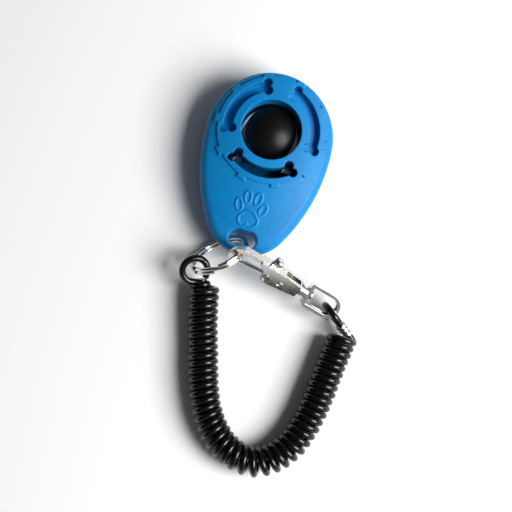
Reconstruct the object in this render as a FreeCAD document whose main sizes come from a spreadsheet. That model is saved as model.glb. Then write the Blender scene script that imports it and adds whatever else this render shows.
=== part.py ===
"""Clicker trainer: an egg-shaped click box on a split ring, with a trigger snap hook and a curly wrist cord.

Frame: millimetres, +Z up, +Y towards the head of the egg. The origin is on the flat back,
under the axis of the button.
"""
import FreeCAD, Part
import math
import os
import Sketcher

from FreeCAD import Matrix, Placement, Rotation, Vector

SIZES = {
    # egg outline: a head arc and a tail arc joined by two long side arcs
    "head_radius": 21.7, "head_centre_y": -1.5,
    "side_radius": 60.0,
    "tail_radius": 15.0, "tail_centre_y": -27.1,
    # heights of the click box
    "split_height": 8.2, "crown_height": 17.4, "crown_radius": 62.0,
    "top_bend_y": -2.0, "top_bend_radius": 132.0,
    "back_bend_y": -11.0, "back_bend_radius": 84.6,
    "wall": 2.0, "top_edge_radius": 4.0, "plateau_inset": 1.1, "back_edge_radius": 1.7, "cavity_end_y": -30.0,
    # raised plateau round the button
    "plateau_radius": 19.3, "plateau_step": 0.7, "rim_groove_depth": 0.65, "rim_groove_width": 1.2,
    "rim_bumps": 10, "rim_bump_sweep": 9.0,
    # openings in the top
    "button_hole_radius": 10.1, "collar_radius": 12.7, "collar_foot": 11.2,
    "bone_radius": 14.6, "bone_half_width": 1.65, "bone_half_angle": 41.0,
    "bone_lobe_offset": 1.35, "bone_lobe_radius": 1.5, "bone_depth": 3.2, "bone_pad": 4.1,
    "bone_pad_reach": 3.0, "bone_pad_start": -20.0, "bone_pad_sweep": 220.0,
    "tail_hole_y": -37.1, "tail_hole_length": 9.3, "tail_hole_width": 5.8,
    "tail_hole_edge": 0.7,
    "paw_y": -27.8, "paw_height": 0.32, "paw_line": 0.55,
    # button, reed and screws
    "button_radius": 8.5, "button_foot": 9.6, "button_shoulder": 13.6, "button_top": 17.3,
    "button_stem_radius": 3.0, "button_stem_foot": 8.95, "button_tab_reach": 11.4,
    "button_tab_width": 8.0, "button_tab_height": 1.2,
    "reed_length": 29.0, "reed_width": 22.6, "reed_thick": 0.4, "reed_height": 7.6,
    "reed_corner": 2.0, "dimple_radius": 6.0, "dimple_rise": 0.8,
    "screw_radius": 1.1, "screw_length": 12.0, "screw_head_radius": 2.1, "screw_head_height": 1.5,
    "screw_recess": 0.9, "boss_radius": 2.6, "screw_side_x": 15.4, "screw_side_y": -15.6,
    "screw_head_y": 15.4,
    # split ring: two round wires side by side
    "ring_radius": 9.7, "ring_wire_radius": 0.68, "ring_wire_offset": 0.64,
    "ring_heading": 222.0, "ring_lean": 62.0, "ring_hole_x": 0.6, "ring_hole_y": -37.2,
    "ring_hole_height": 8.5, "ring_floor_gap": 0.1,
    # snap hook, in its own frame: x from jaw to swivel, y towards the spine, z across
    "hook_heading": -14.5, "hook_slope": 14.9, "hook_roll": 48.0, "hook_on_ring": 129.0,
    "jaw_hold_x": 3.8, "jaw_hold_y": -0.1,
    "jaw_outer": 3.95, "jaw_inner": 2.3, "jaw_thick": 2.4, "body_thick": 4.2, "channel_width": 2.2,
    "spine_top": 3.3, "mark_x": 20.3, "mark_y": -1.0, "mark_depth": 0.25,
    "pivot_x": 15.1, "pivot_y": -1.7, "pin_radius": 0.8, "pin_head_radius": 1.05,
    "pin_recess_radius": 1.45, "pin_recess_depth": 0.4,
    "gate_y": -3.0, "gate_radius": 0.7, "gate_nose_radius": 0.5, "gate_tip_x": 3.6, "gate_gap": 0.2,
    "gate_nose_length": 3.4, "hub_radius": 1.7, "slider_end": 20.3,
    "knob_x": 15.6, "knob_radius": 1.75, "knob_top": 6.6,
    "spring_radius": 0.8, "spring_wire": 0.17, "spring_start": 21.0, "spring_end": 26.0,
    "spring_y": 1.3, "spring_turns": 7.0,
    "neck_start": 26.8, "neck_end": 29.8, "neck_radius": 2.3,
    "rivet_radius": 1.0, "rivet_head_radius": 1.8, "rivet_head_height": 0.9,
    "eye_base": 29.9, "eye_end": 42.8, "eye_half_width": 4.35, "eye_band": 1.25, "eye_depth": 3.3,
    "eye_roll": -32.0,
    # cord
    "cord_radius": 1.15, "coil_radius": 5.25,
    "ring_loop_radius": 4.3, "eye_loop_radius": 4.1,
    "crimp_length": 5.4, "crimp_radius": 1.75, "crimp_tail_radius": 1.3, "crimp_rib": 0.25,
}

# Middle line of the curly cord, from the split ring round the bend to the hook's swivel.
COIL_ROUTE = [
    (-8.4, -54.2, 6.4), (-7.2, -61.2, 5.6), (-5.3, -68.8, 5.35), (-2.7, -77.8, 5.35),
    (-0.3, -87.2, 5.35), (4.0, -97.4, 5.35), (11.7, -105.9, 5.35), (22.9, -108.9, 5.35),
    (32.2, -102.1, 5.35), (36.5, -91.8, 5.35), (38.4, -81.2, 5.35), (39.6, -70.5, 5.35),
    (41.2, -60.4, 5.5),
]

# Where round the bow of the eye its cord loop hangs, and where the loop and its ferrule point.
EYE_LOOP_TURN = -28.0
EYE_LOOP_HEADING = (0.787, -0.617, -0.12)
EYE_CRIMP_HEADING = (0.82, -0.56, -0.16)


def make_sheet(doc):
    sheet = doc.addObject("Spreadsheet::Sheet", "Sizes")
    for row, (name, value) in enumerate(SIZES.items(), start=1):
        sheet.set("A%d" % row, name)
        sheet.set("B%d" % row, str(value))
        sheet.setAlias("B%d" % row, name)
    return sheet


doc = FreeCAD.newDocument("clicker_trainer")
sheet = make_sheet(doc)
doc.recompute()


def size(name):
    """Value of one cell of the sheet."""
    return float(sheet.get(name))


# ---------------------------------------------------------------- small helpers

def feature(label, shape, place=None):
    """Hold a computed shape as a sub-part, then place it."""
    item = doc.addObject("Part::Feature", label)
    item.Label = label
    item.Shape = shape
    if place is not None:
        item.Placement = place
    return item


def box(x0, x1, y0, y1, z0, z1):
    return Part.makeBox(x1 - x0, y1 - y0, z1 - z0, Vector(x0, y0, z0))


def cylinder(radius, start, end):
    axis = end - start
    return Part.makeCylinder(radius, axis.Length, start, axis)


def polar(radius, degrees, height=0.0):
    angle = math.radians(degrees)
    return Vector(radius * math.cos(angle), radius * math.sin(angle), height)


def prism(edges, bottom, top):
    wire = Part.Wire(Part.__sortEdges__(edges))
    face = Part.Face(wire)
    face.translate(Vector(0, 0, bottom))
    return face.extrude(Vector(0, 0, top - bottom))


def three_point_arc(centre, radius, start, end):
    middle = (start + end) / 2
    return Part.Arc(centre + polar(radius, start), centre + polar(radius, middle),
                    centre + polar(radius, end)).toShape()


# ---------------------------------------------------------------- click box

def side_centre():
    """Centre of the side arc that touches both the head arc and the tail arc."""
    head_y = size("head_centre_y")
    tail_y = size("tail_centre_y")
    to_head = size("side_radius") - size("head_radius")
    to_tail = size("side_radius") - size("tail_radius")
    y = (to_tail ** 2 - to_head ** 2 - tail_y ** 2 + head_y ** 2) / (2 * (head_y - tail_y))
    return math.sqrt(to_head ** 2 - (y - head_y) ** 2), y


def egg_prism(inset, bottom, top):
    """Upright prism of the egg outline, offset inwards by inset."""
    head = Vector(0, size("head_centre_y"), 0)
    tail = Vector(0, size("tail_centre_y"), 0)
    side_x, side_y = side_centre()
    head_turn = math.degrees(math.atan2(head.y - side_y, side_x))
    tail_turn = math.degrees(math.atan2(tail.y - side_y, side_x))
    side_radius = size("side_radius") - inset
    edges = [
        three_point_arc(head, size("head_radius") - inset, head_turn, 180 - head_turn),
        three_point_arc(Vector(side_x, side_y, 0), side_radius, 180 - head_turn, 180 - tail_turn),
        three_point_arc(tail, size("tail_radius") - inset, 180 - tail_turn, 360 + tail_turn),
        three_point_arc(Vector(-side_x, side_y, 0), side_radius, tail_turn, head_turn),
    ]
    return prism(edges, bottom, top)


def under_crown(raise_by):
    """Everything under the crowned top: a barrel over the head that bends down over the tail."""
    bend_y = size("top_bend_y")
    top = size("crown_height") + raise_by
    crown = size("crown_radius")
    bend = size("top_bend_radius")
    barrel = cylinder(crown, Vector(0, bend_y, top - crown), Vector(0, 40, top - crown))
    ring = Part.makeTorus(bend - crown, crown, Vector(0, bend_y, top - bend), Vector(1, 0, 0))
    ring = ring.common(box(-40, 40, -60, bend_y, -20, 30))
    barrel = barrel.common(box(-40, 40, bend_y, 40, -20, 30))
    return barrel.fuse(ring)


def above_back(raise_by):
    """Everything above the back: flat under the head and rising towards the tail."""
    bend_y = size("back_bend_y")
    bend = size("back_bend_radius")
    flat = box(-40, 40, bend_y, 40, raise_by, 40)
    roll = cylinder(bend, Vector(-40, bend_y, bend + raise_by), Vector(40, bend_y, bend + raise_by))
    return flat.fuse(roll.common(box(-40, 40, -60, bend_y, -5, 40)))


def outline_edges(shape, at_top):
    """Edges that run round the top, or round the back, of a block."""
    split = size("split_height")
    picked = []
    for edge in shape.Edges:
        points = edge.discretize(5)
        heights = [p.z for p in points]
        on_rim = min(heights) > split + 0.5 if at_top else max(heights) < split - 0.5
        bend_y = size("top_bend_y") if at_top else size("back_bend_y")
        across = all(abs(p.y - bend_y) < 0.01 for p in points)
        if on_rim and not across:
            picked.append(edge)
    return picked


def bone_cut(centre_angle):
    """Curved slot with two round lobes at each end, like a bent bone."""
    radius = size("bone_radius")
    half = size("bone_half_width")
    start = centre_angle - size("bone_half_angle")
    end = centre_angle + size("bone_half_angle")
    tall = 30.0
    origin = Vector(0, 0, 0)
    sweep = end - start
    band = Part.makeCylinder(radius + half, tall, origin, Vector(0, 0, 1), sweep)
    band = band.cut(Part.makeCylinder(radius - half, tall, origin, Vector(0, 0, 1), 360))
    band.rotate(Vector(0, 0, 0), Vector(0, 0, 1), start)
    lobes = []
    for angle in (start, end):
        for offset in (-size("bone_lobe_offset"), size("bone_lobe_offset")):
            foot = polar(radius + offset, angle)
            lobes.append(Part.makeCylinder(size("bone_lobe_radius"), tall, foot))
    return band.multiFuse(lobes)


def bone_pads():
    """Band over the head half that gives the two blind bones a floor."""
    reach = size("bone_pad_reach")
    band = Part.makeCylinder(size("bone_radius") + reach, 30, Vector(0, 0, 0), Vector(0, 0, 1),
                             size("bone_pad_sweep"))
    band = band.cut(Part.makeCylinder(size("bone_radius") - reach, 30))
    band.rotate(Vector(0, 0, 0), Vector(0, 0, 1), size("bone_pad_start"))
    return band


def rim_grooves():
    """Thin arcs sunk into the plateau's edge, with a bump left between each two."""
    count = int(size("rim_bumps"))
    step = 360.0 / count
    bump = size("rim_bump_sweep")
    radius = size("plateau_radius")
    grooves = []
    for index in range(count):
        band = Part.makeCylinder(radius + 1, 30, Vector(0, 0, 0), Vector(0, 0, 1), step - bump)
        band = band.cut(Part.makeCylinder(radius - size("rim_groove_width"), 30))
        band.rotate(Vector(0, 0, 0), Vector(0, 0, 1), 270 + (index - 0.5) * step + bump / 2)
        grooves.append(band)
    return grooves[0].multiFuse(grooves[1:])


def stadium(length, width, centre_y, bottom, top):
    """Upright prism with round ends, its length along X."""
    half = (length - width) / 2
    middle = box(-half, half, centre_y - width / 2, centre_y + width / 2, bottom, top)
    ends = [cylinder(width / 2, Vector(x, centre_y, bottom), Vector(x, centre_y, top))
            for x in (-half, half)]
    return middle.multiFuse(ends)


def with_tail_hole(block, at_top):
    """Cut the tail hole and round its outer edge."""
    length = size("tail_hole_length")
    width = size("tail_hole_width")
    centre_y = size("tail_hole_y")
    block = block.cut(stadium(length, width, centre_y, -5, 30))
    split = size("split_height")
    mouth = []
    for edge in block.Edges:
        points = edge.discretize(5)
        near = all(abs(p.x) < length / 2 + 0.1 and abs(p.y - centre_y) < width / 2 + 0.1 for p in points)
        outer = all(p.z > split + 0.5 if at_top else p.z < split - 0.5 for p in points)
        if near and outer:
            mouth.append(edge)
    return block.makeFillet(size("tail_hole_edge"), mouth)


def oval(centre, long_radius, short_radius, turn, height):
    """Upright prism of an ellipse whose long axis lies at turn degrees."""
    curve = Part.Ellipse(Vector(0, 0, 0), long_radius, short_radius)
    solid = Part.Face(Part.Wire(curve.toShape())).extrude(Vector(0, 0, height))
    solid.rotate(Vector(0, 0, 0), Vector(0, 0, 1), turn)
    solid.translate(centre)
    return solid


def fused(shapes):
    return shapes[0].multiFuse(shapes[1:]) if len(shapes) > 1 else shapes[0]


def paw_outline():
    """Outline of a paw: one three-lobed pad and four toes, as upright walls."""
    middle = Vector(0, size("paw_y"), 0)
    line = size("paw_line")
    pads = [
        [(0, -1.9, 2.7, 2.2, 0), (-1.5, -3.3, 2.3, 2.0, 120), (1.5, -3.3, 2.3, 2.0, 60)],
        [(-4.1, 1.2, 2.3, 1.35, 108)],
        [(-1.75, 4.2, 2.4, 1.35, 96)],
        [(1.75, 4.2, 2.4, 1.35, 84)],
        [(4.1, 1.2, 2.3, 1.35, 72)],
    ]
    walls = []
    for lobes in pads:
        outer, inner = [
            fused([oval(middle + Vector(x, y, 0), long_radius - less, short_radius - less, turn, 30)
                   for x, y, long_radius, short_radius, turn in lobes])
            for less in (0, line)]
        walls.append(outer.cut(inner))
    return fused(walls)


def screw_places():
    side_x = size("screw_side_x")
    side_y = size("screw_side_y")
    return [Vector(side_x, side_y, 0), Vector(-side_x, side_y, 0), Vector(0, size("screw_head_y"), 0)]


def make_top_shell():
    split = size("split_height")
    block = egg_prism(0, split, 25).common(under_crown(0))
    block = block.makeFillet(size("top_edge_radius"), outline_edges(block, True))
    block = with_tail_hole(block, True)
    plateau = Part.makeCylinder(size("plateau_radius"), 20, Vector(0, 0, split))
    plateau = plateau.common(egg_prism(size("plateau_inset"), split, 25))
    plateau = plateau.common(under_crown(size("plateau_step")))
    step_floor = under_crown(size("plateau_step") - size("rim_groove_depth"))
    plateau = plateau.cut(rim_grooves().cut(step_floor))
    shell = block.fuse(plateau)
    paw = paw_outline().common(under_crown(size("paw_height"))).common(egg_prism(4, split + 2, 25))
    shell = shell.fuse(paw)
    cavity = egg_prism(size("wall"), split - 1, 25).common(under_crown(-size("wall")))
    cavity = cavity.common(box(-40, 40, size("cavity_end_y"), 40, 0, 40))
    shell = shell.cut(cavity)
    ceiling = under_crown(-0.5)
    collar = Part.makeCylinder(size("collar_radius"), 20, Vector(0, 0, size("collar_foot")))
    posts = [Part.makeCylinder(size("boss_radius"), 20, place + Vector(0, 0, split))
             for place in screw_places()]
    inner = collar.multiFuse(posts).common(ceiling)
    pads = bone_pads().common(ceiling).cut(under_crown(-size("bone_pad")))
    shell = shell.fuse(inner).fuse(pads)
    shell = shell.cut(Part.makeCylinder(size("button_hole_radius"), 40))
    bone_floor = under_crown(size("plateau_step") - size("bone_depth"))
    for angle in (30, 150):
        shell = shell.cut(bone_cut(angle).cut(bone_floor))
    shell = shell.cut(bone_cut(270))
    for place in screw_places():
        shell = shell.cut(Part.makeCylinder(size("screw_radius"), size("screw_length"), place))
    return feature("top_shell", shell.removeSplitter())


def make_back_shell():
    split = size("split_height")
    wall = size("wall")
    block = egg_prism(0, -1, split).common(above_back(0))
    block = block.makeFillet(size("back_edge_radius"), outline_edges(block, False))
    block = with_tail_hole(block, False)
    cavity = egg_prism(wall, -1, 30).common(above_back(wall))
    cavity = cavity.common(box(-40, 40, size("cavity_end_y"), 40, 0, 40))
    shell = block.cut(cavity)
    lip = egg_prism(wall + 0.1, split - 2, split + 0.8).cut(egg_prism(wall + 0.9, 0, 30))
    for place in screw_places():
        post_room = Part.makeCylinder(size("boss_radius") + 0.2, 5, place + Vector(0, 0, split))
        lip = lip.cut(post_room)
    root = egg_prism(wall - 0.5, split - 2, split).cut(egg_prism(wall + 0.9, 0, 30))
    lip = lip.fuse(root).common(box(-40, 40, size("cavity_end_y") + 0.2, 40, 0, 40))
    shell = shell.fuse(lip)
    # two ledges carry the ends of the reed, and a post carries each screw
    reed_end = size("reed_length") / 2
    for side in (-1, 1):
        inner_x = side * (reed_end - 2.5)
        outer_x = side * (reed_end + 1.0)
        ledge = box(min(inner_x, outer_x), max(inner_x, outer_x), -8, 8, wall - 1, size("reed_height"))
        shell = shell.fuse(ledge)
    posts = [Part.makeCylinder(size("boss_radius"), split - 1, place + Vector(0, 0, 1))
             for place in screw_places()]
    shell = shell.multiFuse(posts)
    for place in screw_places():
        recess = size("screw_recess") + size("screw_head_height")
        shell = shell.cut(Part.makeCylinder(size("screw_radius") + 0.15, 30, place - Vector(0, 0, 1)))
        shell = shell.cut(Part.makeCylinder(size("screw_head_radius") + 0.2, recess + 5,
                                            place - Vector(0, 0, 5)))
    return feature("back_shell", shell.removeSplitter())


def make_reed():
    """Spring-steel plate with a round dimple that snaps through when it is pressed."""
    half_x = size("reed_length") / 2
    half_y = size("reed_width") / 2
    thick = size("reed_thick")
    low = size("reed_height")
    plate = box(-half_x, half_x, -half_y, half_y, low, low + thick)
    plate = plate.makeFillet(size("reed_corner"), [e for e in plate.Edges
                                                   if abs(e.tangentAt(e.FirstParameter).z) > 0.9])
    plate = plate.common(egg_prism(size("wall") + 1.3, low, low + thick))
    radius = size("dimple_radius")
    rise = size("dimple_rise")
    bend = (radius ** 2 + rise ** 2) / (2 * rise)
    centre = Vector(0, 0, low + rise - bend)
    cap = Part.makeSphere(bend + thick, centre).cut(Part.makeSphere(bend, centre))
    cap = cap.common(Part.makeCylinder(radius, 3, Vector(0, 0, low)))
    plate = plate.cut(Part.makeCylinder(radius - 0.3, 3, Vector(0, 0, low - 1)))
    return feature("click_reed", plate.fuse(cap).removeSplitter())


# ---------------------------------------------------------------- sketched and primitive sub-parts

def plane_of(body, role):
    """Origin plane or axis of a body, by its role."""
    for item in body.Origin.OriginFeatures:
        if item.Role == role:
            return item
    raise ValueError(role)


def turned_part(label, corners):
    """Body turned about Z from a closed profile, whose corners are expressions of sheet cells."""
    body = doc.addObject("PartDesign::Body", label)
    body.Label = label
    sketch = body.newObject("Sketcher::SketchObject", label + "_profile")
    sketch.AttachmentSupport = [(plane_of(body, "XZ_Plane"), "")]
    sketch.MapMode = "FlatFace"
    points = [Vector(sheet.evalExpression(across), sheet.evalExpression(up), 0)
              for across, up in corners]
    count = len(points)
    for index in range(count):
        side = Part.LineSegment(points[index], points[(index + 1) % count])
        sketch.addGeometry(side, False)
    for index in range(count):
        joint = Sketcher.Constraint("Coincident", index, 2, (index + 1) % count, 1)
        sketch.addConstraint(joint)
    for index, point in enumerate(points):
        for kind, axis, value, expression in (("DistanceX", -2, point.x, corners[index][0]),
                                              ("DistanceY", -1, point.y, corners[index][1])):
            if abs(value) < 1e-9:
                sketch.addConstraint(Sketcher.Constraint("PointOnObject", index, 1, axis))
                continue
            place = sketch.addConstraint(Sketcher.Constraint(kind, -1, 1, index, 1, value))
            sketch.setExpression("Constraints[%d]" % place, expression)
    turn = body.newObject("PartDesign::Revolution", label + "_turn")
    turn.Profile = sketch
    turn.ReferenceAxis = (sketch, ["V_Axis"])
    turn.Angle = 360
    return body


def primitive(kind, name, bindings, place=None):
    """Part primitive whose properties are bound to expressions of sheet cells."""
    item = doc.addObject(kind, name)
    for key, expression in bindings.items():
        item.setExpression(key, expression)
    if place is not None:
        item.Placement = place
    return item


def joined(label, pieces):
    whole = doc.addObject("Part::MultiFuse", label)
    whole.Label = label
    whole.Shapes = pieces
    return whole


def frame_place(origin, x_axis, y_axis, z_axis):
    """Placement that carries the local axes onto three directions at an origin."""
    turn = Rotation(Matrix(x_axis.x, y_axis.x, z_axis.x, 0,
                           x_axis.y, y_axis.y, z_axis.y, 0,
                           x_axis.z, y_axis.z, z_axis.z, 0,
                           0, 0, 0, 1))
    return Placement(origin, turn)


def make_button():
    """Domed cap on a short cylinder, with a stem for the reed and two tabs that hold it in."""
    foot = Placement(Vector(0, 0, size("button_foot")), Rotation())
    wall = primitive("Part::Cylinder", "button_wall", {
        "Radius": "Sizes.button_radius", "Height": "Sizes.button_top - Sizes.button_foot"}, foot)
    rise = size("button_top") - size("button_shoulder")
    bend = (size("button_radius") ** 2 + rise ** 2) / (2 * rise)
    dome = primitive("Part::Sphere", "button_dome", {
        "Radius": "(Sizes.button_radius ^ 2 + (Sizes.button_top - Sizes.button_shoulder) ^ 2)"
                  " / (2 * (Sizes.button_top - Sizes.button_shoulder))"},
        Placement(Vector(0, 0, size("button_top") - bend), Rotation()))
    cap = doc.addObject("Part::MultiCommon", "button_cap")
    cap.Shapes = [wall, dome]
    stem = primitive("Part::Cylinder", "button_stem", {
        "Radius": "Sizes.button_stem_radius",
        "Height": "Sizes.button_foot - Sizes.button_stem_foot + 1"},
        Placement(Vector(0, 0, size("button_stem_foot")), Rotation()))
    reach = size("button_tab_reach")
    half = size("button_tab_width") / 2
    tabs = primitive("Part::Box", "button_tabs", {
        "Length": "Sizes.button_tab_width", "Width": "2 * Sizes.button_tab_reach",
        "Height": "Sizes.button_tab_height"},
        Placement(Vector(-half, -reach, size("button_foot")), Rotation()))
    return joined("button", [cap, stem, tabs])


def make_screws():
    """Three countersunk screws, driven from the back, as one group."""
    low = size("screw_recess")
    neck = low + size("screw_head_height")
    screws = []
    for place in screw_places():
        head = Part.makeCylinder(size("screw_head_radius"), neck - low, place + Vector(0, 0, low))
        slot = box(-3, 3, -0.3, 0.3, low - 1, low + 0.7)
        cross = slot.copy()
        cross.rotate(Vector(0, 0, 0), Vector(0, 0, 1), 90)
        drive = slot.fuse(cross)
        drive = drive.common(Part.makeCylinder(1.3, 5, Vector(0, 0, low - 1)))
        drive.translate(place)
        shank = Part.makeCylinder(size("screw_radius"), size("screw_length") - neck,
                                  place + Vector(0, 0, neck))
        screws.append(head.fuse(shank).cut(drive))
    return feature("shell_screws", Part.makeCompound(screws))


# ---------------------------------------------------------------- split ring

def ring_axes():
    """Directions of the split ring: along its level diameter, up its slope, and its axle."""
    heading = math.radians(size("ring_heading"))
    lean = math.radians(size("ring_lean"))
    level = Vector(math.cos(heading), math.sin(heading), 0)
    across = Vector(-level.y, level.x, 0)
    upward = across * math.cos(lean) + Vector(0, 0, math.sin(lean))
    return level, upward, level.cross(upward)


def ring_centre():
    """Centre that lets the ring stand on the floor and pass through the tail hole."""
    level, upward, axle = ring_axes()
    radius = size("ring_radius")
    wire = size("ring_wire_radius")
    low = radius * upward.z + wire + size("ring_wire_offset") * axle.z
    height = low + size("ring_floor_gap")
    down = (height - size("ring_hole_height")) / (radius * upward.z)
    hold = Vector(size("ring_hole_x"), size("ring_hole_y"), size("ring_hole_height"))
    centre = hold + level * (radius * math.cos(math.asin(down))) + upward * (radius * down)
    return centre


def ring_point(degrees):
    """Point of the ring's middle line, counted from its far end up over the top."""
    level, upward, _ = ring_axes()
    angle = math.radians(degrees)
    return ring_centre() + (level * math.cos(angle) + upward * math.sin(angle)) * size("ring_radius")


def make_split_ring():
    """Two turns of round wire, side by side and pressed together."""
    offset = size("ring_wire_offset")
    turns = [primitive("Part::Torus", name, {
        "Radius1": "Sizes.ring_radius", "Radius2": "Sizes.ring_wire_radius"},
        Placement(Vector(0, 0, height), Rotation()))
        for name, height in (("ring_near_turn", offset), ("ring_far_turn", -offset))]
    ring = joined("split_ring", turns)
    level, upward, axle = ring_axes()
    ring.Placement = frame_place(ring_centre(), level, upward, axle)
    return ring


# ---------------------------------------------------------------- snap hook

def hook_axes():
    heading = math.radians(size("hook_heading"))
    slope = math.radians(size("hook_slope"))
    roll = math.radians(size("hook_roll"))
    forward = Vector(math.cos(heading) * math.cos(slope), math.sin(heading) * math.cos(slope),
                     -math.sin(slope))
    level = Vector(-math.sin(heading), math.cos(heading), 0)
    upward = forward.cross(level)
    spine = level * math.cos(roll) + upward * math.sin(roll)
    return forward, spine, forward.cross(spine)


def hook_place():
    """The jaw holds the ring at a set point of its middle line."""
    forward, spine, across = hook_axes()
    hold = ring_point(size("hook_on_ring"))
    origin = hold - forward * size("jaw_hold_x") - spine * size("jaw_hold_y")
    return frame_place(origin, forward, spine, across)


def plate(points, half_thick):
    """Flat plate in the hook's side plane, from its outline's corners."""
    corners = [Vector(x, y, -half_thick) for x, y in points]
    face = Part.Face(Part.makePolygon(corners + corners[:1]))
    return face.extrude(Vector(0, 0, 2 * half_thick))


def make_hook_body():
    """Jaw, forked block with the trigger's slot and the spring's channel, and the round neck."""
    outer = size("jaw_outer")
    inner = size("jaw_inner")
    half_jaw = size("jaw_thick") / 2
    half_body = size("body_thick") / 2
    half_channel = size("channel_width") / 2
    spine_top = size("spine_top")
    curl = Vector(outer, spine_top - outer, -half_jaw)
    jaw = Part.makeCylinder(outer, 2 * half_jaw, curl)
    jaw = jaw.cut(Part.makeCylinder(inner, 2 * half_jaw, curl))
    tip_x = size("gate_tip_x") - size("gate_gap")
    jaw = jaw.cut(box(tip_x, 20, -20, curl.y, -5, 5)).cut(box(outer, 20, -20, 20, -5, 5))
    bar = box(outer, 13, spine_top - (outer - inner), spine_top, -half_jaw, half_jaw)
    block = plate([(10.8, 1.5), (12.6, 0.7), (13.3, -0.6), (13.3, -2.3), (14.0, -3.3), (15.2, -3.8),
                   (17.0, -3.9), (26.9, -2.4), (26.9, 2.4), (21.2, 3.1), (10.8, spine_top)], half_body)
    neck = cylinder(size("neck_radius"), Vector(size("neck_start"), 0, 0), Vector(size("neck_end"), 0, 0))
    collar = cylinder(size("neck_radius") + 0.35, Vector(size("neck_start"), 0, 0),
                      Vector(size("neck_start") + 1.0, 0, 0))
    body = jaw.multiFuse([bar, block, neck, collar])
    lever_slot = box(8, 18.0, -8, 1.0, -half_channel, half_channel)
    channel = box(13.8, 26.2, 0, 8, -half_channel, half_channel)
    body = body.cut(lever_slot).cut(channel)
    pivot = Vector(size("pivot_x"), size("pivot_y"), -10)
    body = body.cut(Part.makeCylinder(size("pin_radius"), 20, pivot))
    recess = half_body - size("pin_recess_depth")
    for foot in (recess, -recess - 5):
        seat = Vector(size("pivot_x"), size("pivot_y"), foot)
        body = body.cut(Part.makeCylinder(size("pin_recess_radius"), 5, seat))
    body = body.cut(cylinder(size("rivet_radius"), Vector(size("neck_start"), 0, 0), Vector(40, 0, 0)))
    floor = half_body - size("mark_depth")
    for foot in (floor, -floor - 5):
        centre = Vector(size("mark_x"), size("mark_y"), foot)
        body = body.cut(oval(centre, 1.7, 0.95, 0, 5).cut(oval(centre, 1.25, 0.5, 0, 5)))
    return feature("hook_body", body.removeSplitter(), hook_place())


def make_trigger_lever():
    """Gate rod, hub and rocking arm with the thumb knob, in one piece."""
    half = size("channel_width") / 2 - 0.15
    pivot = Vector(size("pivot_x"), size("pivot_y"), -half)
    hub = Part.makeCylinder(size("hub_radius"), 2 * half, pivot)
    tip = Vector(size("gate_tip_x"), size("gate_y"), 0)
    root = Vector(pivot.x, pivot.y, 0)
    along = (root - tip).normalize()
    shoulder = tip + along * size("gate_nose_length")
    rod = cylinder(size("gate_radius"), shoulder, root - along * (size("hub_radius") - 0.2))
    nose = cylinder(size("gate_nose_radius"), tip, shoulder)
    slider = size("slider_end")
    arm = plate([(14.1, 0.0), (15.0, -1.6), (16.8, -1.6), (17.1, 0.7), (slider, 0.9), (slider, 2.9),
                 (17.4, 3.1), (17.2, 4.3), (14.0, 4.3), (14.0, 1.4)], half)
    knob_x = size("knob_x")
    knob = cylinder(size("knob_radius"), Vector(knob_x, 4.2, 0), Vector(knob_x, size("knob_top"), 0))
    knob = knob.makeFillet(0.9, [e for e in knob.Edges if abs(e.CenterOfMass.y - size("knob_top")) < 0.01])
    lever = hub.multiFuse([rod, nose, arm, knob])
    lever = lever.cut(Part.makeCylinder(size("pin_radius") + 0.05, 20, pivot - Vector(0, 0, 5)))
    return feature("trigger_lever", lever.removeSplitter(), hook_place())


def make_trigger_pin():
    """Headed pin that the lever turns on."""
    half = "(Sizes.body_thick / 2 - Sizes.pin_recess_depth)"
    rim = "(Sizes.body_thick / 2)"
    pin = turned_part("trigger_pin", [
        ("0", "-%s" % rim), ("Sizes.pin_head_radius", "-%s" % rim),
        ("Sizes.pin_head_radius", "-%s" % half), ("Sizes.pin_radius", "-%s" % half),
        ("Sizes.pin_radius", half), ("Sizes.pin_head_radius", half),
        ("Sizes.pin_head_radius", rim), ("0", rim)])
    seat = Placement(Vector(size("pivot_x"), size("pivot_y"), 0), Rotation())
    pin.Placement = hook_place().multiply(seat)
    return pin


def make_trigger_spring():
    """Small compression spring that lies along the hook's channel."""
    length = size("spring_end") - size("spring_start")
    radius = size("spring_radius")
    helix = Part.makeHelix(length / size("spring_turns"), length, radius)
    wire = Part.Wire(helix.Edges)
    section = Part.Wire(Part.makeCircle(size("spring_wire"), Vector(radius, 0, 0), Vector(0, 1, 0)))
    coil = wire.makePipeShell([section], True, True)
    seat = Placement(Vector(size("spring_start"), size("spring_y"), 0), Rotation(Vector(0, 1, 0), 90))
    return feature("trigger_spring", coil, hook_place().multiply(seat))


def make_swivel_rivet():
    """Stud from the hook's neck through the eye's base, with its peened head inside the eye."""
    low = "Sizes.neck_start"
    under = "(Sizes.eye_base + Sizes.eye_band + 0.15)"
    rivet = turned_part("swivel_rivet", [
        ("0", low), ("Sizes.rivet_radius", low), ("Sizes.rivet_radius", under),
        ("Sizes.rivet_head_radius", under),
        ("Sizes.rivet_head_radius", "%s + Sizes.rivet_head_height / 2" % under),
        ("Sizes.rivet_head_radius - 0.7", "%s + Sizes.rivet_head_height" % under),
        ("0", "%s + Sizes.rivet_head_height" % under)])
    along = Placement(Vector(0, 0, 0), Rotation(Vector(0, 1, 0), 90))
    rivet.Placement = hook_place().multiply(along)
    return rivet


def eye_place():
    """Frame of the eye: the hook's own, rolled about its long axis."""
    return hook_place().multiply(Placement(Vector(0, 0, 0), Rotation(Vector(1, 0, 0), size("eye_roll"))))


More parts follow.
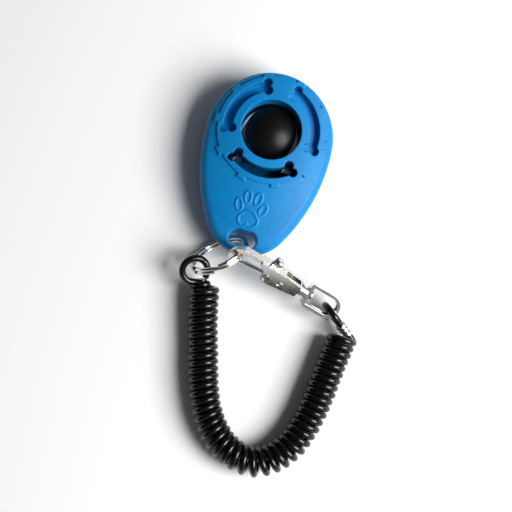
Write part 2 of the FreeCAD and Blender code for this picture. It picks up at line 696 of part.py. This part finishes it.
def make_swivel_eye():
    """D-shaped yoke with a wide band, its flat base bored for the rivet."""
    half = size("eye_half_width")
    band = size("eye_band")
    depth = size("eye_depth") / 2
    base = size("eye_base")
    bow = Vector(size("eye_end") - half, 0, -depth)
    outer = box(base, bow.x, -half, half, -depth, depth)
    outer = outer.makeFillet(1.3, [e for e in outer.Edges if e.Length > 2 * depth - 0.01
                                   and abs(e.CenterOfMass.z) < 0.01 and e.CenterOfMass.x < base + 0.1])
    outer = outer.fuse(Part.makeCylinder(half, 2 * depth, bow))
    inner = box(base + band, bow.x, band - half, half - band, -depth, depth)
    inner = inner.fuse(Part.makeCylinder(half - band, 2 * depth, bow))
    yoke = outer.cut(inner)
    yoke = yoke.cut(cylinder(size("rivet_radius") + 0.06, Vector(20, 0, 0), Vector(base + 3, 0, 0)))
    return feature("swivel_eye", yoke.removeSplitter(), eye_place())


# ---------------------------------------------------------------- cord

def cord_loop(label, radius_cell, place):
    loop = primitive("Part::Torus", label, {"Radius1": "Sizes." + radius_cell,
                                            "Radius2": "Sizes.cord_radius"}, place)
    loop.Label = label
    return loop


def crimp(label, place):
    """Tapered ferrule with three ribs rolled round it."""
    rise = "Sizes.crimp_length / 7"
    corners = [("0", "0")]
    for band in range(7):
        start = "(Sizes.crimp_radius - (Sizes.crimp_radius - Sizes.crimp_tail_radius) * %g)" % (band / 7)
        rib = " + Sizes.crimp_rib" if band % 2 else ""
        corners.append((start + rib, "%d * %s" % (band, rise)))
        corners.append((start + rib, "%d * %s" % (band + 1, rise)))
    corners.append(("0", "Sizes.crimp_length"))
    part = turned_part(label, corners)
    part.Placement = place
    return part


def upright_place(origin, direction):
    """Placement that stands local Z along a direction."""
    return Placement(origin, Rotation(Vector(0, 0, 1), direction))


def make_ring_loop():
    """End loop round the far end of the split ring, and its ferrule in the coil's first turns."""
    level, upward, axle = ring_axes()
    start = Vector(*COIL_ROUTE[0])
    far = ring_point(0)
    towards = start - far
    towards = (towards - upward * towards.dot(upward)).normalize()
    centre = far + towards * 0.95
    radius = size("ring_loop_radius")
    loop = cord_loop("ring_loop", "ring_loop_radius",
                     frame_place(centre, towards, upward.cross(towards), upward))
    foot = centre + towards * (radius - 0.4)
    heading = (Vector(*COIL_ROUTE[1]) - foot).normalize()
    return [loop, crimp("ring_crimp", upright_place(foot, heading))]


def make_eye_loop():
    """End loop round the bow of the swivel eye, and its ferrule beside the coil's last turn."""
    turn = math.radians(EYE_LOOP_TURN)
    middle = size("eye_half_width") - size("eye_band") / 2
    bow = Vector(size("eye_end") - size("eye_half_width"), 0, 0)
    band = eye_place().multVec(bow + Vector(math.cos(turn), math.sin(turn), 0) * middle)
    outward = Vector(*EYE_LOOP_HEADING).normalize()
    tangent = eye_place().Rotation.multVec(Vector(-math.sin(turn), math.cos(turn), 0))
    axle = Vector(-outward.y, outward.x, 0).normalize() + tangent
    axle = (axle - outward * axle.dot(outward)).normalize()
    centre = band + outward * 0.3
    loop = cord_loop("eye_loop", "eye_loop_radius",
                     frame_place(centre, outward, axle.cross(outward), axle))
    foot = centre + outward * (size("eye_loop_radius") - 0.4)
    heading = Vector(*EYE_CRIMP_HEADING).normalize()
    return [loop, crimp("eye_crimp", upright_place(foot, heading))]


def rounded_route(points):
    """Straight runs joined by tangent arcs, each as large as its two runs allow."""
    edges = []
    radii = []
    last = points[0]
    for before, corner, after in zip(points, points[1:], points[2:]):
        back = before - corner
        ahead = after - corner
        turn = math.pi - back.getAngle(ahead)
        reach = 0.45 * min(back.Length, ahead.Length)
        radii.append(reach / math.tan(turn / 2))
        start = corner + back.normalize() * reach
        end = corner + ahead.normalize() * reach
        bisector = (back + ahead).normalize()
        centre = corner + bisector * (radii[-1] / math.cos(turn / 2))
        middle = centre + (corner - centre).normalize() * radii[-1]
        edges.append(Part.LineSegment(last, start).toShape())
        edges.append(Part.Arc(start, middle, end).toShape())
        last = end
    edges.append(Part.LineSegment(last, points[-1]).toShape())
    return Part.Wire(edges), radii


def make_coil_cord():
    """The curly cord as one fat tube of the coil's outer diameter."""
    points = [Vector(*point) for point in COIL_ROUTE]
    path, radii = rounded_route(points)
    start = (points[1] - points[0]).normalize()
    section = Part.Wire(Part.makeCircle(size("coil_radius"), points[0], start))
    tube = path.makePipeShell([section], True, False)
    expected = math.pi * size("coil_radius") ** 2 * path.Length
    print("coil radii", [round(radius, 1) for radius in radii])
    print("coil length %.1f volume %.0f expected %.0f" % (path.Length, tube.Volume, expected))
    return feature("coil_cord", tube)


def main():
    parts = [make_top_shell(), make_back_shell(), make_button(), make_reed(), make_screws(),
             make_split_ring(), make_hook_body(), make_trigger_lever(), make_trigger_pin(),
             make_trigger_spring(), make_swivel_rivet(), make_swivel_eye(), make_coil_cord()]
    parts += make_ring_loop() + make_eye_loop()
    doc.recompute()
    for item in doc.Objects:
        if "Invalid" in item.State or "Error" in item.State:
            raise RuntimeError("%s is %s" % (item.Label, item.State))
    os.makedirs("parts", exist_ok=True)
    for item in parts:
        if item.Shape.isNull() or not item.Shape.isValid():
            raise RuntimeError("%s has no valid shape" % item.Label)
        print("%-16s solids %d volume %8.1f" % (item.Label, len(item.Shape.Solids), item.Shape.Volume))
        item.Shape.exportStep("parts/%s.step" % item.Label)


main()
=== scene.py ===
import bpy
import math
from mathutils import Matrix, Vector


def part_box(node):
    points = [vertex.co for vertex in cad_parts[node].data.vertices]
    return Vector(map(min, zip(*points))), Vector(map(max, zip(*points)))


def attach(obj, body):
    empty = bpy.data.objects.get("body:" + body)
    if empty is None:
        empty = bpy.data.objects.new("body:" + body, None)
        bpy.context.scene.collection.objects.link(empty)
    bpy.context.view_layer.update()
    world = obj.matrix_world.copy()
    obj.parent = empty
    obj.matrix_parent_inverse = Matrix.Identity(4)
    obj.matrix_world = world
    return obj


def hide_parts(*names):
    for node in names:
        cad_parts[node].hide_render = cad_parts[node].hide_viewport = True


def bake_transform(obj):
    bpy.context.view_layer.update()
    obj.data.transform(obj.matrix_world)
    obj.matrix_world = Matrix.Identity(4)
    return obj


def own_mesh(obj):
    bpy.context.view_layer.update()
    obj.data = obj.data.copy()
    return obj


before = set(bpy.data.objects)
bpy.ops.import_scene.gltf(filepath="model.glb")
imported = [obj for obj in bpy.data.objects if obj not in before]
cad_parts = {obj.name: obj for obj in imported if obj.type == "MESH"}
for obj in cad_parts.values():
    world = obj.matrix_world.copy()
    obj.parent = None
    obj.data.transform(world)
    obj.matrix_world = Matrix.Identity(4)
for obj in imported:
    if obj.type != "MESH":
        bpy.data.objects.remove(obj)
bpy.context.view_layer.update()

MM = 0.001

# Sizes and places repeated from the CAD, in millimetres and degrees.
CORD_RADIUS = 1.15
COIL_RADIUS = 5.25
RING_RADIUS = 9.7
RING_WIRE = 0.68
RING_OFFSET = 0.64
RING_HEADING = 222
RING_LEAN = 62
COIL_ROUTE = [
    (-8.4, -54.2, 6.4), (-7.2, -61.2, 5.6), (-5.3, -68.8, 5.35), (-2.7, -77.8, 5.35),
    (-0.3, -87.2, 5.35), (4.0, -97.4, 5.35), (11.7, -105.9, 5.35), (22.9, -108.9, 5.35),
    (32.2, -102.1, 5.35), (36.5, -91.8, 5.35), (38.4, -81.2, 5.35), (39.6, -70.5, 5.35),
    (41.2, -60.4, 5.5),
]

# The ferrule that the cord's far end runs into, in metres.
CRIMP_FOOT = Vector((38.88, -55.8, 5.68)) * MM
CRIMP_HEADING = Vector((0.815, -0.557, -0.159)).normalized()
CRIMP_LENGTH = 5.4 * MM

# How the curly cord is wound, in metres and radians.
LINE_STEP = 0.1 * MM  # between points of the coil's middle line
PARTS_PER_STEP = 3
POINTS_PER_TURN = 20
BEND_REACH = 30  # steps on each side over which the bend is evened out
BEND_SHARE = 0.8  # how much of the bend opens the turns on its outside
TURN_PITCH = 2.04 * CORD_RADIUS * MM  # a little over the cord's own thickness
WINDING_SNUG = 0.98  # winding radius against the CAD's
WINDING_WOBBLES = ((0.014, 0.37, 0.0), (0.010, 0.113, 1.0))  # size, pace and phase
FIRST_OPENING = 0.25  # share of the winding radius at the cord's first point
OPENING_ANGLE = 1.2 * math.pi  # gives the slope at which the first turn opens
LAST_PHASE = math.radians(95)  # where round the coil its last turn ends


# ---------------------------------------------------------------- objects

def add_object(name, data):
    item = bpy.data.objects.new(name, data)
    bpy.context.scene.collection.objects.link(item)
    return item


def node(name):
    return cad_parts[name]


def copied(name, source):
    """A CAD node's shape as a piece of its own, without its material."""
    item = add_object(name, node(source).data.copy())
    item.matrix_world = node(source).matrix_world.copy()
    item.data.materials.clear()
    return item


def shade_smooth(mesh):
    for face in mesh.polygons:
        face.use_smooth = True


def remeshed_copy(name, source, voxel, passes, body):
    """Finely remeshed and softened copy of a CAD node, so that its moulded edges are round."""
    item = copied(name, source)
    remesh = item.modifiers.new("remesh", "REMESH")
    remesh.mode = "VOXEL"
    remesh.voxel_size = voxel * MM
    smooth = item.modifiers.new("soften", "SMOOTH")
    smooth.factor = 0.5
    smooth.iterations = passes
    bpy.context.view_layer.update()
    graph = bpy.context.evaluated_depsgraph_get()
    mesh = bpy.data.meshes.new_from_object(item.evaluated_get(graph))
    item.modifiers.clear()
    item.data = mesh
    shade_smooth(mesh)
    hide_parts(source)
    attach(item, body)
    return item


def wire_curve(name, points, radius):
    """Round wire along close points, as a curve of one spline."""
    data = bpy.data.curves.new(name, "CURVE")
    data.dimensions = "3D"
    spline = data.splines.new("POLY")
    spline.points.add(len(points) - 1)
    for place, point in zip(spline.points, points):
        place.co = (point.x, point.y, point.z, 1)
    spline.use_smooth = True
    data.bevel_depth = radius
    data.bevel_resolution = 5
    data.use_fill_caps = True
    return add_object(name, data)


# ---------------------------------------------------------------- materials

class Surface:
    """Small helper that builds one node material. Sizes and depths are in millimetres."""

    def __init__(self, name, colour, **settings):
        self.material = bpy.data.materials.new(name)
        self.material.use_nodes = True
        self.tree = self.material.node_tree
        self.shader = self.tree.nodes["Principled BSDF"]
        self.shader.inputs["Base Color"].default_value = (*colour, 1)
        for key, value in settings.items():
            self.shader.inputs[key.replace("_", " ")].default_value = value
        self.coordinates = self.tree.nodes.new("ShaderNodeTexCoord")
        self.bump = None

    def link(self, start, end):
        self.tree.links.new(start, end)

    def stretched(self, stretch):
        mapping = self.tree.nodes.new("ShaderNodeMapping")
        mapping.inputs["Scale"].default_value = stretch
        self.link(self.coordinates.outputs["Object"], mapping.inputs["Vector"])
        return mapping.outputs["Vector"]

    def noise(self, size, detail, stretch=(1, 1, 1)):
        texture = self.tree.nodes.new("ShaderNodeTexNoise")
        texture.inputs["Scale"].default_value = 1 / (size * MM)
        texture.inputs["Detail"].default_value = detail
        texture.inputs["Roughness"].default_value = 0.55
        self.link(self.stretched(stretch), texture.inputs["Vector"])
        return texture.outputs["Fac"]

    def rough(self, source, low, high):
        """Roughness that varies between two values by a texture."""
        scale = self.tree.nodes.new("ShaderNodeMapRange")
        scale.inputs["From Min"].default_value = 0.35
        scale.inputs["From Max"].default_value = 0.65
        scale.inputs["To Min"].default_value = low
        scale.inputs["To Max"].default_value = high
        self.link(source, scale.inputs["Value"])
        self.link(scale.outputs["Result"], self.shader.inputs["Roughness"])

    def tint(self, source, first, second):
        """Colour that varies between two by a texture."""
        ramp = self.tree.nodes.new("ShaderNodeValToRGB")
        start, end = ramp.color_ramp.elements
        start.position = 0.35
        start.color = (*first, 1)
        end.position = 0.65
        end.color = (*second, 1)
        self.link(source, ramp.inputs["Fac"])
        self.link(ramp.outputs["Color"], self.shader.inputs["Base Color"])

    def relief(self, source, depth, strength):
        """Bump on top of any relief that was added before."""
        bump = self.tree.nodes.new("ShaderNodeBump")
        bump.inputs["Strength"].default_value = strength
        bump.inputs["Distance"].default_value = depth * MM
        self.link(source, bump.inputs["Height"])
        if self.bump is not None:
            self.link(self.bump.outputs["Normal"], bump.inputs["Normal"])
        self.bump = bump
        self.link(bump.outputs["Normal"], self.shader.inputs["Normal"])


def shell_material():
    """Satin moulded ABS: fine spark texture, faint flow marks, slight sheen changes from handling."""
    surface = Surface("shell_blue", (0.003, 0.22, 0.53), IOR=1.42, Specular_IOR_Level=0.3,
                      Subsurface_Weight=0.08, Subsurface_Radius=(0.0006, 0.0012, 0.002), Subsurface_Scale=0.6)
    surface.tint(surface.noise(size=9.0, detail=2.0), (0.001, 0.185, 0.47), (0.002, 0.21, 0.515))
    surface.rough(surface.noise(size=1.4, detail=4.0), low=0.42, high=0.52)
    surface.relief(surface.noise(size=0.35, detail=2.0), depth=0.008, strength=0.4)
    surface.relief(surface.noise(size=3.5, detail=2.0), depth=0.03, strength=0.35)
    return surface.material


def button_material():
    """Glossy black ABS with hairline scuffs."""
    surface = Surface("button_black", (0.003, 0.003, 0.0035), IOR=1.42, Specular_IOR_Level=0.25)
    surface.rough(surface.noise(size=0.9, detail=5.0), low=0.34, high=0.42)
    surface.relief(surface.noise(size=1.6, detail=3.0), depth=0.006, strength=0.5)
    surface.relief(surface.noise(size=0.12, detail=2.0, stretch=(1, 6, 1)), depth=0.0012, strength=0.4)
    return surface.material


def cord_material():
    """Glossy black elastomer with a slightly uneven skin."""
    surface = Surface("cord_black", (0.002, 0.002, 0.0022), IOR=1.45)
    surface.rough(surface.noise(size=1.2, detail=3.0), low=0.16, high=0.24)
    surface.relief(surface.noise(size=0.8, detail=3.0), depth=0.02, strength=0.35)
    surface.relief(surface.noise(size=0.15, detail=2.0), depth=0.003, strength=0.3)
    return surface.material


def metal_material(name, colour, rough, grain, wave, stretch=(1, 1, 1)):
    """Metal with a varying roughness, and a fine grain and gentle waves, each given as size and depth."""
    surface = Surface(name, colour, Metallic=1.0)
    surface.tint(surface.noise(size=2.5, detail=3.0), tuple(0.95 * c for c in colour), colour)
    surface.rough(surface.noise(size=0.9, detail=4.0), *rough)
    grain_size, grain_depth = grain
    surface.relief(surface.noise(grain_size, 2.0, stretch), grain_depth, strength=0.5)
    wave_size, wave_depth = wave
    surface.relief(surface.noise(wave_size, 2.0), wave_depth, strength=0.5)
    return surface.material


def paint(item, material):
    if not item.material_slots:
        item.data.materials.append(material)
        return
    for place in item.material_slots:
        place.material = material


SHELL = shell_material()
BUTTON = button_material()
CORD = cord_material()
NICKEL = metal_material("nickel_cast", (0.78, 0.76, 0.73), rough=(0.13, 0.20),
                        grain=(0.3, 0.0008), wave=(2.2, 0.005))
RING = metal_material("nickel_wire", (0.80, 0.78, 0.74), rough=(0.07, 0.13),
                      grain=(0.3, 0.0006), wave=(2.0, 0.004))
STEEL = metal_material("bright_steel", (0.74, 0.72, 0.69), rough=(0.07, 0.14),
                       grain=(0.3, 0.0006), wave=(4.0, 0.01), stretch=(1, 6, 1))
SPRING = metal_material("spring_wire", (0.30, 0.29, 0.28), rough=(0.30, 0.42),
                        grain=(0.1, 0.002), wave=(1.0, 0.004))
FERRULE = metal_material("ferrule_tin", (0.72, 0.71, 0.69), rough=(0.22, 0.38),
                         grain=(0.2, 0.006), wave=(1.0, 0.03))


# ---------------------------------------------------------------- click box

top = remeshed_copy("top_shell_skin", "top_shell", 0.17, 5, "box")
back = remeshed_copy("back_shell_skin", "back_shell", 0.2, 4, "box")
paint(top, SHELL)
paint(back, SHELL)

reed = copied("click_reed_sheet", "click_reed")
paint(reed, STEEL)
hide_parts("click_reed")
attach(reed, "box")
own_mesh(reed)
paint(node("shell_screws"), STEEL)

cap = remeshed_copy("button_skin", "button", 0.12, 6, "button")
paint(cap, BUTTON)


# ---------------------------------------------------------------- split ring

def ring_frame():
    """Centre, level direction, upward direction and axle of the ring, as the CAD has them."""
    low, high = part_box("split_ring")
    centre = (Vector(low) + Vector(high)) / 2
    heading = math.radians(RING_HEADING)
    lean = math.radians(RING_LEAN)
    level = Vector((math.cos(heading), math.sin(heading), 0))
    across = Vector((-level.y, level.x, 0))
    upward = across * math.cos(lean) + Vector((0, 0, math.sin(lean)))
    return centre, level, upward, level.cross(upward)


def make_split_ring():
    """One wire wound twice round, with a short crossing where it steps from turn to turn."""
    centre, level, upward, axle = ring_frame()
    end_gap = 0.10
    crossing_reach = 0.42
    start = math.radians(70)
    first = end_gap
    last = 4 * math.pi - end_gap
    crossing = 2 * math.pi
    count = 260
    points = []
    for index in range(count + 1):
        turn = first + (last - first) * index / count
        step = min(1.0, max(-1.0, (turn - crossing) / crossing_reach))
        offset = -RING_OFFSET * math.sin(step * math.pi / 2)
        angle = start + turn
        around = level * math.cos(angle) + upward * math.sin(angle)
        points.append(centre + around * (RING_RADIUS * MM) + axle * (offset * MM))
    return wire_curve("split_ring_wire", points, RING_WIRE * MM)


ring = make_split_ring()
paint(ring, RING)
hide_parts("split_ring")
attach(ring, "ring")


# ---------------------------------------------------------------- snap hook and ferrules

def round_edges(name, material, width):
    """Gives a CAD node its material and round edges of a width in millimetres."""
    item = node(name)
    paint(item, material)
    weld = item.modifiers.new("weld", "WELD")
    weld.merge_threshold = 0.0005 * MM
    flat = item.modifiers.new("flat", "DECIMATE")
    flat.decimate_type = "DISSOLVE"
    flat.angle_limit = math.radians(0.5)
    bevel = item.modifiers.new("edge", "BEVEL")
    bevel.width = width * MM
    bevel.segments = 3
    bevel.limit_method = "ANGLE"
    bevel.angle_limit = math.radians(40)
    bevel.harden_normals = True


round_edges("hook_body", NICKEL, 0.22)
round_edges("trigger_lever", NICKEL, 0.14)
round_edges("swivel_eye", NICKEL, 0.2)
round_edges("swivel_rivet", NICKEL, 0.12)
round_edges("trigger_pin", STEEL, 0.1)
round_edges("ring_crimp", CORD, 0.08)
round_edges("eye_crimp", FERRULE, 0.08)
paint(node("trigger_spring"), SPRING)


# ---------------------------------------------------------------- curly cord

def route_line():
    """Points along the smooth line that the route's points control."""
    data = bpy.data.curves.new("coil_line", "CURVE")
    data.dimensions = "3D"
    spline = data.splines.new("NURBS")
    spline.points.add(len(COIL_ROUTE) - 1)
    for place, point in zip(spline.points, COIL_ROUTE):
        place.co = (*(Vector(point) * MM), 1)
    spline.order_u = 3
    spline.use_endpoint_u = True
    data.resolution_u = 40
    guide = add_object("coil_line", data)
    mesh = bpy.data.meshes.new_from_object(guide)
    points = [vertex.co.copy() for vertex in mesh.vertices]
    bpy.data.objects.remove(guide)
    return points


def even_line(points, step):
    """The same line with its points an even distance apart."""
    even = [points[0]]
    left = step
    for before, after in zip(points, points[1:]):
        run = (after - before).length
        done = 0.0
        while run - done >= left:
            done += left
            even.append(before.lerp(after, done / run))
            left = step
        left -= run - done
    return even


def smoothed(values, reach):
    """Each value's mean with its neighbours out to a reach on both sides."""
    total = [0.0]
    for value in values:
        total.append(total[-1] + value)
    result = []
    for index in range(len(values)):
        low = max(0, index - reach)
        high = min(len(values), index + reach + 1)
        result.append((total[high] - total[low]) / (high - low))
    return result


def joining_curve(start, leaving, end, arriving, reach, count):
    """Points of a smooth curve between two points, without its first."""
    first = start + leaving.normalized() * reach
    second = end - arriving.normalized() * reach
    points = []
    for index in range(1, count + 1):
        t = index / count
        u = 1 - t
        points.append(start * u ** 3 + first * (3 * u * u * t) + second * (3 * u * t * t) + end * t ** 3)
    return points


def turn_angles(tangents, winding):
    """How far the cord winds round the middle line at each of its steps."""
    bends = [(after - before).length / LINE_STEP for before, after in zip(tangents, tangents[1:])]
    bends = smoothed(smoothed(bends + [0.0], BEND_REACH), BEND_REACH)
    return [2 * math.pi * LINE_STEP * (1 - BEND_SHARE * winding * bend) / TURN_PITCH for bend in bends]


def uneven(angle):
    """Slight and slow change of the coil's radius along the cord."""
    factor = 1
    for size, pace, phase in WINDING_WOBBLES:
        factor += size * math.sin(angle * pace + phase)
    return factor


def make_coil():
    """Points of a close-wound helix that opens on the outside of the bend, up to the ferrule."""
    line = even_line(route_line(), LINE_STEP)
    tangents = [(after - before).normalized() for before, after in zip(line, line[1:])]
    tangents.append(tangents[-1])
    winding = (COIL_RADIUS - CORD_RADIUS) * MM
    turns = turn_angles(tangents, winding)
    angle = LAST_PHASE - sum(turns)
    first_angle = angle
    side = Vector((0, 0, 1))
    points = []
    gather = 0.0
    for centre, tangent, turn in zip(line, tangents, turns):
        side = (side - tangent * side.dot(tangent)).normalized()
        for part in range(PARTS_PER_STEP):
            angle += turn / PARTS_PER_STEP
            gather += turn / PARTS_PER_STEP
            if gather < 2 * math.pi / POINTS_PER_TURN:
                continue
            gather = 0.0
            opened = min(1.0, FIRST_OPENING + (angle - first_angle) / OPENING_ANGLE)
            around = side * math.cos(angle) + tangent.cross(side) * math.sin(angle)
            shift = tangent * (LINE_STEP * part / PARTS_PER_STEP)
            points.append(centre + shift + around * (winding * WINDING_SNUG * uneven(angle) * opened))
    leaving = points[-1] - points[-2]
    crimp_end = CRIMP_FOOT + CRIMP_HEADING * CRIMP_LENGTH
    return points + joining_curve(points[-1], leaving, crimp_end, -CRIMP_HEADING, reach=1.7 * MM, count=14)


def meshed(item):
    """The same piece as a smooth mesh."""
    mesh = bpy.data.meshes.new_from_object(item)
    name = item.name
    bpy.data.objects.remove(item)
    shade_smooth(mesh)
    return add_object(name, mesh)


def make_end_loop(name, centre, outward, sideways, radius):
    """Tear-shaped end loop whose two strands meet side by side in the ferrule."""
    opening = 22
    stretch = 0.12
    pinch = 0.28
    count = 64
    points = []
    for index in range(count + 1):
        swing = math.radians(opening + (360 - 2 * opening) * index / count)
        pull = max(0.0, math.cos(swing)) ** 3
        along = radius * (math.cos(swing) * (1 + stretch * pull))
        across = radius * math.sin(swing) * (1 - pinch * pull)
        points.append(centre + outward * (along * MM) + sideways * (across * MM))
    item = wire_curve(name, points, CORD_RADIUS * MM)
    paint(item, CORD)
    return item


coil_points = make_coil()
coil = meshed(wire_curve("curly_cord", coil_points, CORD_RADIUS * MM))
paint(coil, CORD)
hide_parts("coil_cord")

ring_loop = make_end_loop("ring_end_loop", Vector((-12.67, -51.07, 9.21)) * MM,
                          Vector((0.715, -0.525, -0.462)), Vector((0.625, 0.776, 0.085)), 4.3)
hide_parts("ring_loop")
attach(ring_loop, "ring")
eye_loop = make_end_loop("eye_end_loop", Vector((35.99, -53.53, 6.12)) * MM,
                         Vector((0.781, -0.613, -0.119)), Vector((-0.053, 0.125, -0.991)), 4.1)
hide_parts("eye_loop")
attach(eye_loop, "eye")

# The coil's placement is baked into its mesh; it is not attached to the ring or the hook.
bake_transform(coil)


# ---------------------------------------------------------------- floor, light and camera

def add_floor():
    mesh = bpy.data.meshes.new("floor")
    reach = 2.0
    mesh.from_pydata([(-reach, -reach, 0), (reach, -reach, 0), (reach, reach, 0), (-reach, reach, 0)],
                     [], [(0, 1, 2, 3)])
    floor = add_object("floor", mesh)
    surface = Surface("floor_paper", (0.88, 0.88, 0.88), Roughness=0.9)
    surface.relief(surface.noise(size=2.0, detail=3.0), depth=0.02, strength=0.1)
    paint(floor, surface.material)


def add_softbox(name, place, target, width, height, power):
    data = bpy.data.lights.new(name, "AREA")
    data.shape = "RECTANGLE"
    data.size = width
    data.size_y = height
    data.energy = power
    lamp = add_object(name, data)
    lamp.location = place
    lamp.rotation_euler = (Vector(target) - Vector(place)).to_track_quat("-Z", "Y").to_euler()


def add_world():
    """Studio room: dim overhead, brighter lower down and on the right."""
    lowest, highest = 0.48, 0.04
    between = ((0.25, 0.30), (0.5, 0.14), (0.75, 0.26), (0.92, 0.08))
    right_strength = 1.5
    world = bpy.data.worlds.new("studio")
    world.use_nodes = True
    tree = world.node_tree
    background = tree.nodes["Background"]
    direction = tree.nodes.new("ShaderNodeTexCoord")
    axes = tree.nodes.new("ShaderNodeSeparateXYZ")
    ramp = tree.nodes.new("ShaderNodeValToRGB")
    ramp.color_ramp.elements[0].position = 0.0
    ramp.color_ramp.elements[0].color = (lowest, lowest, lowest, 1)
    ramp.color_ramp.elements[1].position = 1.0
    ramp.color_ramp.elements[1].color = (highest, highest, highest, 1)
    for position, level in between:
        stop = ramp.color_ramp.elements.new(position)
        stop.color = (level, level, level, 1)
    sides = tree.nodes.new("ShaderNodeMapRange")
    sides.inputs["From Min"].default_value = -1.0
    sides.inputs["To Min"].default_value = 0.0
    sides.inputs["To Max"].default_value = right_strength
    tree.links.new(direction.outputs["Generated"], axes.inputs["Vector"])
    tree.links.new(axes.outputs["Z"], ramp.inputs["Fac"])
    tree.links.new(axes.outputs["X"], sides.inputs["Value"])
    tree.links.new(ramp.outputs["Color"], background.inputs["Color"])
    tree.links.new(sides.outputs["Result"], background.inputs["Strength"])
    bpy.context.scene.world = world


def add_camera():
    """Camera almost straight above, rolled round its own line of sight."""
    target = Vector((5.85, -41.2, 9.0)) * MM
    elevation = math.radians(84)
    azimuth = math.radians(-12)
    roll = math.radians(26.75)
    distance = 0.3448
    direction = Vector((math.sin(azimuth) * math.cos(elevation), -math.cos(azimuth) * math.cos(elevation),
                        math.sin(elevation)))
    right = (-direction).cross(Vector((0, 0, 1))).normalized()
    upward = right.cross(-direction)
    level = right * math.cos(roll) + upward * math.sin(roll)
    tall = -right * math.sin(roll) + upward * math.cos(roll)
    data = bpy.data.cameras.new("camera")
    data.angle = math.radians(28)
    data.clip_start = 0.01
    camera = add_object("camera", data)
    turn = Matrix((level, tall, direction)).transposed().to_4x4()
    camera.matrix_world = Matrix.Translation(target + direction * distance) @ turn
    bpy.context.scene.camera = camera


add_floor()
add_world()
add_softbox("key_right", place=(0.54, -0.08, 0.54), target=(0.0, -0.05, 0.0), width=0.46, height=0.46,
            power=9.8)
add_camera()
bpy.context.scene.view_settings.view_transform = "Standard"
